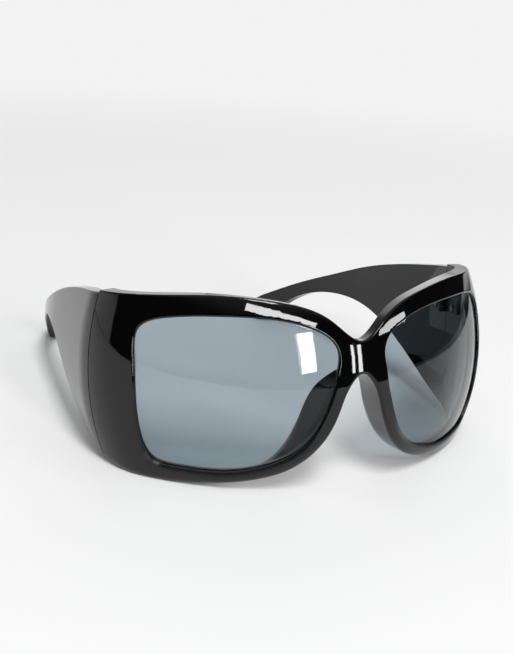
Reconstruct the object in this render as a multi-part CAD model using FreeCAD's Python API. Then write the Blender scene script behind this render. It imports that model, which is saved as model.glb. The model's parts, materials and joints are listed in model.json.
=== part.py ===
import FreeCAD, Part
import math
import os
from FreeCAD import Vector

# Driving dimensions in millimetres and degrees. The wearer looks along -Y, and +X is the wearer's left.

# Outer surface: a plan of four tangent arcs, crowned from top to bottom
front_radius = 85.0
corner_radius = 31.0
temple_toe_in = 7.8
shank_radius = 3000.0
shank_length = 46.0
ear_radius = 250.0
crown_radius = 75.0
crown_height = 32.0
wall = 4.2

# Lenses and the openings that hold them
lens_width = 61.4
lens_height = 48.4
lens_thickness = 1.8
lens_recess = 0.9
groove_depth = 0.8
lens_clearance = 0.05
opening_round = 0.6

# Front
rim_top = 6.3
rim_bottom = 4.0
rim_side = 2.4
end_piece = 17.0
end_piece_rise = 4.8
bridge_width = 17.8
bridge_top = 44.0
nose_height = 33.8
pad_thickness = 2.6
pad_reach = 17.2
pad_flare = 2.2
foot_start = 42.0
rise_start = 27.0
edge_round = 0.9

# Temples
temple_reach = 164.0
temple_drop = 1.2
seam_gap = 0.45

# Hinges: five knuckles on a slotted screw, with two screws in each leaf
hinge_height = 46.0
boss_depth = 9.6
boss_bottom = 34.0
boss_length = 13.0
boss_run_out = 4.0
boss_step = 3.0
knuckle_radius = 1.4
knuckle_height = 1.8
knuckle_count = 5
knuckle_gap = 0.06
hinge_gap = 0.2
pin_radius = 0.7
pin_clearance = 0.03
pin_head_radius = 1.25
pin_head_height = 0.7
leaf_thickness = 0.8
leaf_length = 8.0
leaf_screw_radius = 0.55
leaf_screw_depth = 3.0
leaf_screw_clearance = 0.03
leaf_screw_head_radius = 1.1
leaf_screw_head_height = 0.5
leaf_screw_spacing = 5.2
slot_width = 0.35
slot_depth = 0.3

# The lens outline, as shares of its half width (towards the temple) and half height
lens_shape = [(-1.0, 0.33), (-0.935, 0.674), (-0.727, 0.839), (-0.336, 0.963), (0.153, 1.0),
              (0.642, 0.975), (0.948, 0.835), (1.0, 0.405), (0.987, -0.236), (0.938, -0.628),
              (0.847, -0.851), (0.577, -0.955), (0.153, -1.0), (-0.336, -0.901), (-0.661, -0.678),
              (-0.867, -0.298), (-0.971, 0.095)]

# The brow from the bridge outwards, as shares of half the width and of the dip down to the bridge
brow_shape = [(0.0, 1.0), (0.124, 0.585), (0.208, 0.333), (0.345, 0.143), (0.603, 0.0), (0.82, 0.03)]

# The nose arch from its top to the foot of the rim: shares of the foot's start, of the arch and of the flare
nose_shape = [(0.0, 1.0, 0.0), (0.088, 0.917, 0.8), (0.176, 0.636, 1.0), (0.305, 0.311, 0.8),
              (0.476, 0.136, 0.3), (0.714, 0.038, 0.0), (1.0, 0.0, 0.0)]

# The rear edge of the pads from above: shares of the pad's reach and of the arch
pad_shape = [(0.2, 1.18), (0.436, 1.044), (0.82, 0.825), (0.983, 0.541)]

# The temple round its tip, from top to bottom: shares of the way from seam to tip and of the height there
temple_shape = [(0.27, 0.951), (0.426, 0.897), (0.595, 0.808), (0.764, 0.709), (0.916, 0.595), (0.97, 0.541),
                (1.0, 0.464), (0.962, 0.391), (0.903, 0.45), (0.848, 0.534), (0.764, 0.616), (0.595, 0.668),
                (0.476, 0.632), (0.27, 0.404), (0.067, 0.146)]

# Derived plan: an angle is that of the outward normal, from straight ahead round to the side
lens_half_angle = math.degrees(math.asin(lens_width / 2 / front_radius))
lens_yaw = math.degrees(bridge_width / 2 / front_radius) + lens_half_angle
wrap_angle = lens_yaw + lens_half_angle + math.degrees(rim_side / front_radius)
seam_angle = wrap_angle + math.degrees(end_piece / corner_radius)
gap_angle = math.degrees(seam_gap / corner_radius)
temple_angle = 90.0 + temple_toe_in
shank_angle = temple_angle + math.degrees(shank_length / shank_radius)
ear_angle = shank_angle + math.degrees((temple_reach - shank_length) / ear_radius)
brow_height = rim_bottom + lens_height + rim_top
margin = 4.0
band_top = brow_height + margin
band_bottom = -margin
up = Vector(0, 0, 1)


def outward(angle):
    return Vector(math.sin(math.radians(angle)), -math.cos(math.radians(angle)), 0)


front_centre = Vector(0, front_radius, 0)
corner_centre = front_centre + outward(wrap_angle) * (front_radius - corner_radius)
shank_centre = corner_centre + outward(temple_angle) * (corner_radius - shank_radius)
ear_centre = shank_centre + outward(shank_angle) * (shank_radius - ear_radius)
seam_point = corner_centre + outward(seam_angle) * corner_radius
seam_out = outward(seam_angle)
seam_back = outward(seam_angle + 90)
axis_depth = boss_depth + hinge_gap + knuckle_radius
hinge_axis = seam_point - seam_out * axis_depth
half_width = corner_centre.x + corner_radius


def mirrored(shape):
    return shape.mirror(Vector(0, 0, 0), Vector(1, 0, 0))


def spline_through(points, first, last):
    spline = Part.BSplineCurve()
    spline.interpolate(points, InitialTangent=first.normalize(), FinalTangent=last.normalize(), Scale=False)
    return spline


def curve(points, first, last):
    return spline_through(points, first, last).toShape()


def prism(edges, along):
    return Part.Face(Part.Wire(Part.__sortEdges__(edges))).extrude(along)


def band(centre, radius, start, end, depth, thickness):
    # The wall turned about an upright axis: two concentric ribs, crowned about the crown height
    def at(inset, height):
        reach = math.sqrt((crown_radius - inset) ** 2 - (height - crown_height) ** 2)
        return centre + outward(start) * (radius - crown_radius + reach) + up * height

    outer = [at(depth, height) for height in (band_bottom, crown_height, band_top)]
    inner = [at(depth + thickness, height) for height in (band_bottom, crown_height, band_top)]
    edges = [Part.Arc(*outer).toShape(), Part.Arc(*inner).toShape()]
    edges += [Part.makeLine(outer[0], inner[0]), Part.makeLine(outer[-1], inner[-1])]
    return Part.Face(Part.Wire(Part.__sortEdges__(edges))).revolve(centre, up, end - start)


def front_band(depth, thickness):
    middle = band(front_centre, front_radius, -wrap_angle, wrap_angle, depth, thickness)
    corner = band(corner_centre, corner_radius, wrap_angle, seam_angle - gap_angle / 2, depth, thickness)
    return middle.fuse([corner, mirrored(corner)])


def temple_band(depth, thickness):
    corner = band(corner_centre, corner_radius, seam_angle + gap_angle / 2, temple_angle, depth, thickness)
    shank = band(shank_centre, shank_radius, temple_angle, shank_angle, depth, thickness)
    ear = band(ear_centre, ear_radius, shank_angle, ear_angle, depth, thickness)
    return corner.fuse([shank, ear])


def middle_of(face):
    first_u, last_u, first_v, last_v = face.ParameterRange
    u, v = (first_u + last_u) / 2, (first_v + last_v) / 2
    return face.valueAt(u, v), face.normalAt(u, v)


def is_front_skin(face):
    point, normal = middle_of(face)
    spot = Vector(abs(point.x), point.y, 0)
    centre, radius = front_centre, front_radius
    if math.degrees(math.atan2(spot.x, front_centre.y - spot.y)) > wrap_angle:
        centre, radius = corner_centre, corner_radius
    ray = spot - centre
    depth = crown_radius - math.hypot(ray.Length - radius + crown_radius, point.z - crown_height)
    way_out = Vector(math.copysign(ray.x, point.x), ray.y, 0).normalize()
    return abs(depth) < lens_recess / 2 and normal.dot(way_out) > 0.8


def is_temple_skin(face):
    return middle_of(face)[1].x > 0.8


def is_upright(face):
    return face.Surface.TypeId == "Part::GeomPlane" and abs(face.normalAt(0, 0).z) < 0.1


def outline_edges(shape, is_skin):
    # The edges round the outer skin, without those along the seam
    found = []
    for edge in shape.Edges:
        faces = shape.ancestorsOfType(edge, Part.Face)
        skins = [face for face in faces if is_skin(face)]
        if len(skins) == 1 and not any(is_upright(face) for face in faces):
            found.append(edge)
    return found


def nose_points(y, flare):
    # One side of the nose arch, opened out by the flare
    return [Vector(foot_start * u + flare * w, y, nose_height * v) for u, v, w in nose_shape]


def both_sides(points):
    # A run of points from the middle outwards, carried over to the other side
    return [Vector(-p.x, p.y, p.z) for p in reversed(points[1:])] + points


def front_outline():
    # Seen from the front: the brow line with its dip at the bridge, straight at the foot
    def p(x, z):
        return Vector(x, -margin, z)

    far = half_width + margin
    side_top = brow_height - temple_drop
    brow = [p(half_width * u, brow_height - (brow_height - bridge_top) * v) for u, v in brow_shape]
    brow += [p(seam_point.x, side_top), p(far, side_top - temple_drop / 2)]
    along = Vector(1, 0, 0)
    corners = [brow[-1], p(far, 0), p(-far, 0), p(-far, brow[-1].z)]
    edges = [Part.makeLine(a, b) for a, b in zip(corners, corners[1:])]
    return prism([curve(both_sides(brow), along, along)] + edges, Vector(0, temple_reach, 0))


def rise_at(share):
    # The lower edge of an end piece, lifting from the foot (0) to the seam (1)
    along = rise_start + (seam_point.y - rise_start) * share
    return Vector(-half_width - margin, along, end_piece_rise * share ** 2)


def end_piece_rise_cut():
    # Seen from the side: what is cut away below that lower edge
    start, end = rise_at(0), rise_at(1.4)
    below = up * (end.z + margin)
    rise = curve([start, rise_at(0.5), rise_at(1), end], rise_at(0.1) - start, end - rise_at(1.3))
    edges = [rise, Part.makeLine(start, start - below), Part.makeLine(start - below, end - below)]
    edges.append(Part.makeLine(end - below, end))
    return prism(edges, Vector(2 * (half_width + margin), 0, 0))


def lens_prism(grow):
    # The lens outline, grown evenly, along the lens's own axis
    axis = outward(lens_yaw)
    across = outward(lens_yaw + 90)
    middle = front_centre + axis * (front_radius * 0.7) + up * (rim_bottom + lens_height / 2)
    spline = Part.BSplineCurve()
    spline.interpolate([middle + across * (u * lens_width / 2) + up * (v * lens_height / 2)
                        for u, v in lens_shape], PeriodicFlag=True)
    points = []
    for k in range(len(lens_shape)):
        knot = spline.getKnot(k + 1)
        tangent = spline.tangent(knot)[0]
        points.append(spline.value(knot) - tangent.cross(axis) * grow)
    grown = Part.BSplineCurve()
    grown.interpolate(points, PeriodicFlag=True)
    return prism([grown.toShape()], axis * (front_radius * 0.4))


def lens_shell(depth, thickness, grow):
    shell = band(front_centre, front_radius, 0, wrap_angle + rim_side, depth, thickness)
    return shell.common(lens_prism(grow))


def hinge_point(back, depth, height):
    return seam_point + seam_back * back - seam_out * depth + up * height


def hinge_block(outline, bottom, top):
    points = [hinge_point(back, depth, bottom) for back, depth in outline]
    return Part.Face(Part.makePolygon(points + points[:1])).extrude(up * (top - bottom))


def boss(side):
    # A flat seat for the hinge leaf, run out into the wall, on the front (-1) or the temple (1)
    end = boss_length + boss_run_out
    outline = [(0, 0), (side * end, 0), (side * end, boss_depth - boss_step), (side * boss_length, boss_depth),
               (0, boss_depth)]
    return hinge_block(outline, boss_bottom, band_top)


def knuckle_span(k):
    bottom = hinge_height + (k - knuckle_count / 2) * knuckle_height
    return bottom + knuckle_gap / 2, knuckle_height - knuckle_gap


def leaf_screw_places(side):
    back = side * (knuckle_radius + hinge_gap + leaf_length * 0.6)
    return [(back, hinge_height + step * leaf_screw_spacing / 2) for step in (-1, 1)]


def leaf_screw_holes(side):
    holes = []
    for back, height in leaf_screw_places(side):
        foot = hinge_point(back, boss_depth - leaf_screw_depth - leaf_screw_clearance, height)
        depth = leaf_screw_depth + leaf_thickness + margin
        holes.append(Part.makeCylinder(leaf_screw_radius + leaf_screw_clearance, depth, foot, -seam_out))
    return holes


def slotted(head, centre, axis, across, radius):
    cut = Part.makeBox(2 * radius + 1, slot_width, slot_depth * 2)
    cut.translate(Vector(-radius - 0.5, -slot_width / 2, -slot_depth))
    turn = FreeCAD.Rotation(across, axis.cross(across), axis, "ZXY")
    cut.Placement = FreeCAD.Placement(centre, turn).multiply(cut.Placement)
    return head.cut(cut)


def leaf_screws(side):
    screws = []
    for back, height in leaf_screw_places(side):
        foot = hinge_point(back, boss_depth - leaf_screw_depth, height)
        seat = hinge_point(back, boss_depth + leaf_thickness, height)
        top = seat - seam_out * leaf_screw_head_height
        shank = Part.makeCylinder(leaf_screw_radius, leaf_screw_depth + leaf_thickness, foot, -seam_out)
        head = Part.makeCylinder(leaf_screw_head_radius, leaf_screw_head_height, seat, -seam_out)
        screws.append(slotted(shank.fuse(head), top, -seam_out, seam_back, leaf_screw_head_radius))
    return Part.makeCompound([screw.removeSplitter() for screw in screws])


def hinge_leaf(side):
    near = knuckle_radius + hinge_gap
    low = hinge_height - knuckle_count * knuckle_height / 2
    high = hinge_height + knuckle_count * knuckle_height / 2
    near_edge, far_edge = side * near, side * (near + leaf_length)
    face, back = boss_depth, boss_depth + leaf_thickness
    plate = hinge_block([(near_edge, face), (far_edge, face), (far_edge, back), (near_edge, back)], low, high)
    pieces = []
    for k in range(0 if side < 0 else 1, knuckle_count, 2):
        bottom, height = knuckle_span(k)
        pieces.append(Part.makeCylinder(knuckle_radius, height, hinge_axis + up * bottom, up))
        root = side * hinge_gap
        pieces.append(hinge_block([(root, face), (near_edge, face), (near_edge, back), (root, back)],
                                  bottom, bottom + height))
    bore = Part.makeCylinder(pin_radius + pin_clearance, high - low, hinge_axis + up * low, up)
    return plate.fuse(pieces).cut([bore] + leaf_screw_holes(side)).removeSplitter()


def hinge_screw():
    low, _ = knuckle_span(0)
    start, height = knuckle_span(knuckle_count - 1)
    high = start + height
    shank = Part.makeCylinder(pin_radius, high - low, hinge_axis + up * low, up)
    head = Part.makeCylinder(pin_head_radius, pin_head_height, hinge_axis + up * high, up)
    top = hinge_axis + up * (high + pin_head_height)
    return slotted(shank.fuse(head), top, up, seam_back, pin_head_radius).removeSplitter()


def nose_space(grow):
    # The space under the nose arch, grown evenly and drawn out at the feet, opening out towards the wearer
    reach = pad_reach + 2 * margin
    along = Vector(1, 0, 0)
    sections = []
    for y in (-margin, reach):
        points = both_sides(nose_points(y, pad_flare * y / pad_reach))
        spline = spline_through(points, along, along)
        tangents = [spline.tangent(spline.parameter(point))[0] for point in points]
        grown = [point + tangent.cross(Vector(0, 1, 0)) * grow for point, tangent in zip(points, tangents)]
        grown[0] -= along * (2 * grow)
        grown[-1] += along * (2 * grow)
        floor = [Vector(grown[k].x, y, -margin) for k in (0, -1)]
        edges = [curve(grown, along, along), Part.makeLine(grown[0], floor[0])]
        edges += [Part.makeLine(grown[-1], floor[1]), Part.makeLine(floor[0], floor[1])]
        sections.append(Part.Wire(Part.__sortEdges__(edges)))
    return Part.makeLoft(sections, True, True)


def nose_block():
    # What both pads are cut from: the nose arch carried back behind the wall, deepest low down
    side = half_width

    def p(u, z):
        return Vector(-side, pad_reach * u, z)

    rear = [p(u, nose_height * v) for u, v in pad_shape] + [p(1, -margin)]
    front = -margin / pad_reach
    corners = [rear[0], p(front, rear[0].z), p(front, -margin), rear[-1]]
    edges = [curve(rear, rear[1] - rear[0], Vector(0, 0, -margin))]
    edges += [Part.makeLine(a, b) for a, b in zip(corners, corners[1:])]
    behind = band(front_centre, front_radius, -wrap_angle, wrap_angle, wall / 2, pad_reach)
    return nose_space(pad_thickness).common(prism(edges, Vector(2 * side, 0, 0))).common(behind)


def temple_outline():
    # Seen from the side: as tall as the front at the seam, a waist before the ear bend, a round tip
    x = half_width + margin
    top = brow_height - temple_drop

    def p(share, z):
        return Vector(x, seam_point.y + (temple_reach - seam_point.y) * share, z)

    start = -margin / (temple_reach - seam_point.y)
    low = end_piece_rise * 0.6
    points = [p(start, top + temple_drop / 4), p(0, top)] + [p(u, top * v) for u, v in temple_shape]
    points += [p(0, end_piece_rise), p(start, low)]
    edge = curve(points, points[1] - points[0], points[-1] - points[-2])
    return prism([edge, Part.makeLine(points[-1], points[0])], Vector(-x, 0, 0))


def front_frame():
    seat = front_band(wall / 2, boss_depth).common([boss(-1), mirrored(boss(-1))])
    frame = front_band(0, wall).fuse(seat).common(front_outline()).cut(end_piece_rise_cut())
    opening = lens_prism(0)
    groove = lens_shell(lens_recess - lens_clearance, lens_thickness + 2 * lens_clearance,
                        groove_depth + lens_clearance)
    frame = frame.cut([opening, mirrored(opening)]).fuse(nose_block().common(front_outline()))
    frame = frame.cut([nose_space(0), groove, mirrored(groove)])
    lips = [edge for edge in outline_edges(frame, is_front_skin) if edge.isClosed()]
    frame = frame.makeFillet(opening_round, lips)
    rims = [edge for edge in outline_edges(frame, is_front_skin) if edge.Length > wall * 2]
    frame = frame.makeFillet(edge_round, rims)
    holes = leaf_screw_holes(-1)
    return frame.cut(holes + [mirrored(hole) for hole in holes])


def temple():
    seat = temple_band(wall / 2, boss_depth).common(boss(1))
    arm = temple_band(0, wall).fuse(seat).common(temple_outline())
    return arm.makeFillet(edge_round, outline_edges(arm, is_temple_skin)).cut(leaf_screw_holes(1))


def resting_angle(feet, tips):
    # How far the whole leans back to stand on the rims and the temple tips
    low, high = 0.0, 45.0
    while high - low > 1e-6:
        angle = (low + high) / 2
        slope = math.tan(math.radians(angle))
        if min(p.z - p.y * slope for p in tips) > min(p.z - p.y * slope for p in feet):
            low = angle
        else:
            high = angle
    return low


parts = {"front_frame": front_frame()}
for name, shape in (("lens", lens_shell(lens_recess, lens_thickness, groove_depth)), ("temple", temple()),
                    ("front_hinge_leaf", hinge_leaf(-1)), ("temple_hinge_leaf", hinge_leaf(1)),
                    ("hinge_screw", hinge_screw()), ("front_leaf_screws", leaf_screws(-1)),
                    ("temple_leaf_screws", leaf_screws(1))):
    parts[name + "_left"] = shape
    parts[name + "_right"] = mirrored(shape)

feet = parts["front_frame"].tessellate(0.05)[0]
tips = parts["temple_left"].tessellate(0.05)[0]
lean = FreeCAD.Rotation(Vector(1, 0, 0), -resting_angle(feet, tips))
standing = [lean.multVec(point) for point in feet + tips]
middle = (min(p.y for p in standing) + max(p.y for p in standing)) / 2
placement = FreeCAD.Placement(Vector(0, -middle, -min(p.z for p in standing)), lean)

os.makedirs("parts", exist_ok=True)
for name, shape in parts.items():
    shape.transformShape(placement.toMatrix())
    shape.exportStep("parts/" + name + ".step")
    print(name, "valid" if shape.isValid() else "invalid", len(shape.Solids), round(shape.Volume, 1), "mm3")
print("left hinge", placement.multVec(hinge_axis + up * hinge_height), "along", lean.multVec(up))
print("leans back", resting_angle(feet, tips), "moved by", placement.Base)
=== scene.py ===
import bpy, bmesh, json, math
from mathutils import Euler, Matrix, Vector

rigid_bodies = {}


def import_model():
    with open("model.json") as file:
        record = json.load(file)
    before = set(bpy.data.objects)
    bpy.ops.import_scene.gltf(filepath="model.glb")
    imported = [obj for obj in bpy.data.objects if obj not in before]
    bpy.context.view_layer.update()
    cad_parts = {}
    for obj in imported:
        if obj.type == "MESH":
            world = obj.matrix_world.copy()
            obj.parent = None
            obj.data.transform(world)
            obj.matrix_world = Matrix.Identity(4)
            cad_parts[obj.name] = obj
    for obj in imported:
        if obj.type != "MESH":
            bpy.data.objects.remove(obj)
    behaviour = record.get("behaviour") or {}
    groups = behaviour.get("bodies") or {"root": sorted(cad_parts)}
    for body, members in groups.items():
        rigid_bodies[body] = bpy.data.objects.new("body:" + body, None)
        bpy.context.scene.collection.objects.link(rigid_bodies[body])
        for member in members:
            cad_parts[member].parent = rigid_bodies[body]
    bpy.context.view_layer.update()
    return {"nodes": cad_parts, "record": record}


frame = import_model()
print("frame loaded,", len(frame["nodes"]), "nodes")

scene = bpy.context.scene
scene.view_settings.view_transform = "Standard"


class Wire:
    # a shader value that takes part in plain sums
    def __init__(self, paint, socket):
        self.paint, self.socket = paint, socket

    def maths(self, operation, *values):
        return self.paint.node("ShaderNodeMath", {"operation": operation}, dict(enumerate(values)))

    def __add__(self, other): return self.maths("ADD", self, other)
    def __radd__(self, other): return self.maths("ADD", other, self)
    def __sub__(self, other): return self.maths("SUBTRACT", self, other)
    def __rsub__(self, other): return self.maths("SUBTRACT", other, self)
    def __mul__(self, other): return self.maths("MULTIPLY", self, other)
    def __rmul__(self, other): return self.maths("MULTIPLY", other, self)
    def __pow__(self, other): return self.maths("POWER", self, other)
    def either(self, other): return self.maths("MAXIMUM", self, other)

    def rise(self, low, high):
        # 0 below low, 1 above high, eased between
        return self.paint.node("ShaderNodeMapRange", {"interpolation_type": "SMOOTHSTEP"},
                               {"Value": self, "From Min": low, "From Max": high})


class Paint:
    # the nodes of a material or of the world
    def __init__(self, owner, output="ShaderNodeOutputMaterial"):
        self.owner = owner
        owner.use_nodes = True
        self.tree = owner.node_tree
        self.tree.nodes.clear()
        self.out = self.tree.nodes.new(output)

    def node(self, kind, settings=None, inputs=None, output=0):
        made = self.tree.nodes.new(kind)
        for key, value in (settings or {}).items():
            setattr(made, key, value)
        for key, value in (inputs or {}).items():
            if isinstance(value, Wire):
                self.tree.links.new(value.socket, made.inputs[key])
            else:
                made.inputs[key].default_value = value
        return Wire(self, made.outputs[output])

    def mapped(self, scale=(1, 1, 1), turn=(0, 0, 0)):
        place = self.node("ShaderNodeTexCoord", output="Object")
        return self.node("ShaderNodeMapping", None, {"Vector": place, "Scale": scale, "Rotation": turn})

    def axes(self, vector):
        return [self.node("ShaderNodeSeparateXYZ", None, {0: vector}, axis) for axis in (0, 1, 2)]

    def noise(self, scale, detail, vector=None):
        return self.node("ShaderNodeTexNoise", None,
                         {"Vector": vector or self.mapped(), "Scale": scale, "Detail": detail})

    def blend(self, factor, first, second):
        # from the first colour to the second
        return self.node("ShaderNodeMix", {"data_type": "RGBA"},
                         {"Factor": factor, 6: (*first, 1), 7: (*second, 1)}, 2)

    def mixed(self, factor, first, second):
        # from the first shader to the second
        return self.node("ShaderNodeMixShader", None, {0: factor, 1: first, 2: second})

    def bump(self, height, depth):
        return self.node("ShaderNodeBump", None, {"Height": height, "Distance": depth})

    def done(self, shader):
        self.tree.links.new(shader.socket, self.out.inputs["Surface"])
        return self.owner


def material(name):
    return Paint(bpy.data.materials.new(name))


# moulded black plastic: polished, with slow flow waves, faint wiping marks and a little dust
plastic = {
    "colour": (0.0011, 0.0011, 0.0012), "ior": 1.46, "roughness": 0.02,
    "waves": 70.0, "waveDepth": 0.000022,
    "haze": 45.0, "hazeRough": 0.02,
    "wipes": 900.0, "wipeStretch": (1, 0.04, 0.3), "wipeTurn": (0.4, 0.2, 0.7), "wipeRough": 0.04,
    "dustSize": 420.0, "dustPatches": 160.0, "dustColour": (0.02, 0.02, 0.02), "dustRough": 0.3,
    # the lower lips of the rims are shaded rounder, up to this height and no further back than this
    "lipRoll": 0.0026, "lipHeight": (0.014, 0.026), "lipBack": (-0.045, -0.04),
}


def blackPlastic():
    p = material("polished black plastic")
    waves = p.noise(plastic["waves"], 1.0)
    haze = p.noise(plastic["haze"], 4.0).rise(0.35, 0.75)
    wiped = p.mapped(plastic["wipeStretch"], plastic["wipeTurn"])
    wipes = p.noise(plastic["wipes"], 2.0, wiped).rise(0.62, 0.8)
    speck = p.node("ShaderNodeTexVoronoi", None, {"Vector": p.mapped(), "Scale": plastic["dustSize"]})
    dust = (1 - speck.rise(0.06, 0.12)) * p.noise(plastic["dustPatches"], 2.0).rise(0.6, 0.68)
    rough = plastic["roughness"] + haze * plastic["hazeRough"] + wipes * plastic["wipeRough"]
    rough = rough + dust * plastic["dustRough"]

    y, z = p.axes(p.mapped())[1:]
    lip = (1 - z.rise(*plastic["lipHeight"])) * (1 - y.rise(*plastic["lipBack"]))
    plain = p.node("ShaderNodeNewGeometry", output="Normal")
    rolled = p.node("ShaderNodeBevel", {"samples": 8}, {"Radius": plastic["lipRoll"]})
    below = p.node("ShaderNodeMix", {"data_type": "VECTOR"}, {"Factor": lip, 4: plain, 5: rolled}, 1)
    normal = p.node("ShaderNodeBump", None, {"Height": waves, "Distance": plastic["waveDepth"], "Normal": below})
    return p.done(p.node("ShaderNodeBsdfPrincipled", None, {
        "Base Color": p.blend(dust, plastic["colour"], plastic["dustColour"]),
        "Roughness": rough, "IOR": plastic["ior"], "Normal": normal}))


# smoke grey lens: tints what lies behind, more so at a slant, where it also mirrors more
smoke = {
    "tint": (0.64, 0.695, 0.73), "slantTint": (0.565, 0.614, 0.645), "slant": (0.15, 0.7),
    "mirror": 0.029, "mirrorColour": (0.94, 0.95, 0.96),
    "roughness": 0.012, "smears": 55.0, "smearRough": 0.02,
}


def smokeLens():
    p = material("smoke grey lens")
    smear = p.noise(smoke["smears"], 3.0, p.mapped((1, 1, 0.5), (0, 0.5, 0))).rise(0.5, 0.8)
    clear = p.node("ShaderNodeBsdfTransparent", None, {"Color": (*smoke["tint"], 1)})
    deep = p.node("ShaderNodeBsdfTransparent", None, {"Color": (*smoke["slantTint"], 1)})
    shine = p.node("ShaderNodeBsdfPrincipled", None, {
        "Base Color": (*smoke["mirrorColour"], 1), "Metallic": 1.0,
        "Roughness": smoke["roughness"] + smear * smoke["smearRough"]})
    slant = p.node("ShaderNodeLayerWeight", None, {"Blend": 0.5}, "Facing")
    share = smoke["mirror"] + slant ** 5 * (1 - smoke["mirror"])
    return p.done(p.mixed(share, p.mixed(slant.rise(*smoke["slant"]), clear, deep), shine))


# hinge leaves: stamped from dark steel and brushed along their length
steel = {"colour": (0.075, 0.075, 0.078), "worn": (0.05, 0.049, 0.047), "stains": 420.0,
         "roughness": 0.3, "grain": 2600.0, "grainRough": 0.16, "grainDepth": 0.000006}


def brushedSteel():
    p = material("brushed hinge steel")
    grain = p.noise(steel["grain"], 3.0, p.mapped((1, 0.05, 1)))
    stain = p.noise(steel["stains"], 4.0).rise(0.35, 0.75)
    return p.done(p.node("ShaderNodeBsdfPrincipled", None, {
        "Base Color": p.blend(stain, steel["colour"], steel["worn"]), "Metallic": 1.0,
        "Roughness": steel["roughness"] + grain * steel["grainRough"],
        "Normal": p.bump(grain, steel["grainDepth"])}))


# screws: turned heads, a little brighter than the leaves
screw = {"colour": (0.24, 0.235, 0.23), "tarnished": (0.14, 0.135, 0.125), "tarnish": 900.0,
         "roughness": 0.24, "tarnishRough": 0.15, "toolMarks": 5200.0, "markDepth": 0.000004}


def turnedSteel():
    p = material("turned screw steel")
    tarnish = p.noise(screw["tarnish"], 3.0)
    return p.done(p.node("ShaderNodeBsdfPrincipled", None, {
        "Base Color": p.blend(tarnish.rise(0.45, 0.8), screw["colour"], screw["tarnished"]), "Metallic": 1.0,
        "Roughness": screw["roughness"] + tarnish * screw["tarnishRough"],
        "Normal": p.bump(p.noise(screw["toolMarks"], 2.0), screw["markDepth"])}))


smoothing = {"weld": 1e-6, "creaseAngle": 25}
finishes = {"frame": blackPlastic(), "lens": smokeLens(), "hinge": brushedSteel(), "screw": turnedSteel()}
for part in frame["record"]["subparts"]:
    piece = bpy.data.objects[part["node"]]
    for slot in piece.material_slots:
        slot.material = finishes[part["material_slot"]]
    for polygon in piece.data.polygons:
        polygon.use_smooth = True
    piece.modifiers.new("weld", "WELD").merge_threshold = smoothing["weld"]
    piece.modifiers.new("split", "EDGE_SPLIT").split_angle = math.radians(smoothing["creaseAngle"])
    piece.modifiers.new("weigh", "WEIGHTED_NORMAL").mode = "FACE_AREA_WITH_ANGLE"

# white tabletop: it runs into the pale backdrop, and mirrors only see it as far as its front and right edges
table = {
    "reach": 4.0, "colour": (0.86, 0.865, 0.86),
    "backdrop": 0.89, "fade": (0.07, 0.5),           # fade by the square of the distance
    "front": 0.42, "right": 0.33, "rightEnd": (0.1, 0.3), "corner": 0.36, "edgeBlur": 0.03, "beyond": 0.02,
}


def makeTable():
    bm = bmesh.new()
    bmesh.ops.create_grid(bm, x_segments=1, y_segments=1, size=table["reach"])
    mesh = bpy.data.meshes.new("tabletop")
    bm.to_mesh(mesh)
    bm.free()
    top = bpy.data.objects.new("tabletop", mesh)
    bpy.context.collection.objects.link(top)

    p = material("white tabletop")
    x, y = p.axes(p.mapped())[:2]

    def past(distance, edge):
        return distance.rise(table[edge], table[edge] + table["edgeBlur"])

    away = past(x, "right") * (1 - y.rise(*table["rightEnd"]))
    away = away.either(past(-1 * y, "front")).either(past(x * 0.6 - y * 0.8, "corner"))
    mirrored = p.node("ShaderNodeLightPath", output="Is Glossy Ray")
    pale = p.node("ShaderNodeBsdfDiffuse", None, {"Color": (*table["colour"], 1)})
    dim = p.node("ShaderNodeBsdfDiffuse", None, {"Color": (table["beyond"],) * 3 + (1,)})
    glow = p.node("ShaderNodeEmission", None, {"Color": (table["backdrop"],) * 3 + (1,)})
    far = (x * x + y * y).rise(*table["fade"]) * p.node("ShaderNodeLightPath", output="Is Camera Ray")
    mesh.materials.append(p.done(p.mixed(far, p.mixed(away * mirrored, pale, dim), glow)))


makeTable()
print("table made")

# studio: a soft ceiling, a bright wall behind with a window high on its right, and a dim room in front
studio = {
    "ceiling": 0.38, "ceilingWay": (0, -0.2, 0.97), "ceilingEdge": (0.6, 0.85),
    "wall": 0.76, "wallWay": (-0.208, 0.978, 0), "wallEdge": (0.42, 0.48), "wallTop": (0.2, 0.4), "wallFade": 0.8,
    "window": 1.04, "windowWay": (0.393, 0.772, 0.5), "windowEdge": (0.84, 0.94),
    "room": 0.016, "seen": 0.89,
}


def lightStudio():
    world = bpy.data.worlds.new("studio")
    scene.world = world
    p = Paint(world, "ShaderNodeOutputWorld")
    x, y, z = p.axes(p.node("ShaderNodeTexCoord", output="Generated"))

    def area(name):
        way = studio[name + "Way"]
        return (x * way[0] + y * way[1] + z * way[2]).rise(*studio[name + "Edge"])

    overhead = area("ceiling")
    behind = area("wall") * (1 - z.rise(*studio["wallTop"]) * studio["wallFade"]) * (1 - overhead)
    level = overhead * studio["ceiling"] + behind * studio["wall"] + area("window") * studio["window"]
    level = level + studio["room"]
    seen = p.node("ShaderNodeLightPath", output="Is Camera Ray")
    p.done(p.node("ShaderNodeBackground", None, {
        "Color": (1, 1, 1, 1), "Strength": level * (1 - seen) + seen * studio["seen"]}))


lightStudio()

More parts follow.
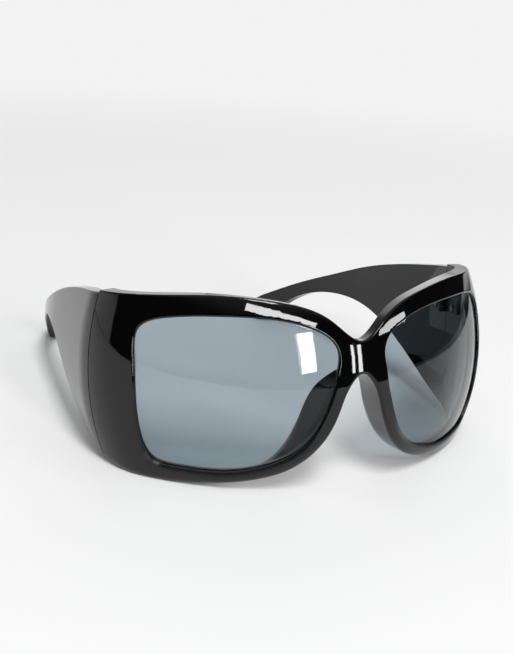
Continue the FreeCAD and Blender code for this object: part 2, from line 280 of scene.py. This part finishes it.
# the key is the main light, high in front
# the small far ones are the highlights in the lens, the rims and the bridge
softboxes = {
    "key": {"place": (-0.62, -2.7, 4.22), "aim": (0, -0.05, 0.03), "size": (1.05, 2.44), "level": 19.8, "roll": 0},
    "strip": {"place": (0.129, -2.1, 0.489), "aim": (-0.018, -0.075, 0.045), "size": (0.27, 0.75), "level": 22,
              "roll": 5.2},
    "bar": {"place": (-0.3, -2.11, 1.31), "aim": (-0.024, -0.07, 0.055), "size": (1.44, 0.165), "level": 20,
            "roll": -21},
    "side": {"place": (1.675, -1.471, 0.643), "aim": (0.0115, -0.0745, 0.052), "size": (0.705, 0.16), "level": 14,
             "roll": 0},
    "thinStrip": {"place": (0.965, -2.097, 0.299), "aim": (-0.004, -0.078, 0.044), "size": (0.036, 0.48),
                  "level": 24, "roll": 0},
    "thickStrip": {"place": (1.088, -2.031, 0.278), "aim": (-0.001, -0.078, 0.044), "size": (0.075, 0.48),
                   "level": 22, "roll": 0},
}


def softbox(name, place, aim, size, level, roll):
    lamp = bpy.data.lights.new(name, "AREA")
    lamp.shape = "RECTANGLE"
    lamp.size, lamp.size_y = size
    lamp.energy = level * math.pi * size[0] * size[1]     # so that level is what a mirror sees
    item = bpy.data.objects.new(name, lamp)
    bpy.context.collection.objects.link(item)
    item.location = place
    turn = (Vector(aim) - Vector(place)).to_track_quat("-Z", "Y")
    item.rotation_euler = (turn @ Euler((0, 0, math.radians(roll))).to_quaternion()).to_euler()
    item.visible_camera = False


for name, lamp in softboxes.items():
    softbox(name, **lamp)
print("studio lit with", len(softboxes), "softboxes")

view = {"place": (-0.201028, -0.386961, 0.177362), "turn": (70.8432, -4.4125, -26.3987),
        "lens": 71.014, "sensor": 36, "nearest": 0.01}
camera = bpy.data.objects.new("camera", bpy.data.cameras.new("camera"))
bpy.context.collection.objects.link(camera)
camera.location = view["place"]
camera.rotation_euler = Euler([math.radians(angle) for angle in view["turn"]], "XYZ")
camera.data.sensor_fit = "VERTICAL"
camera.data.sensor_height = view["sensor"]
camera.data.lens = view["lens"]
camera.data.clip_start = view["nearest"]
scene.camera = camera
print("camera set")
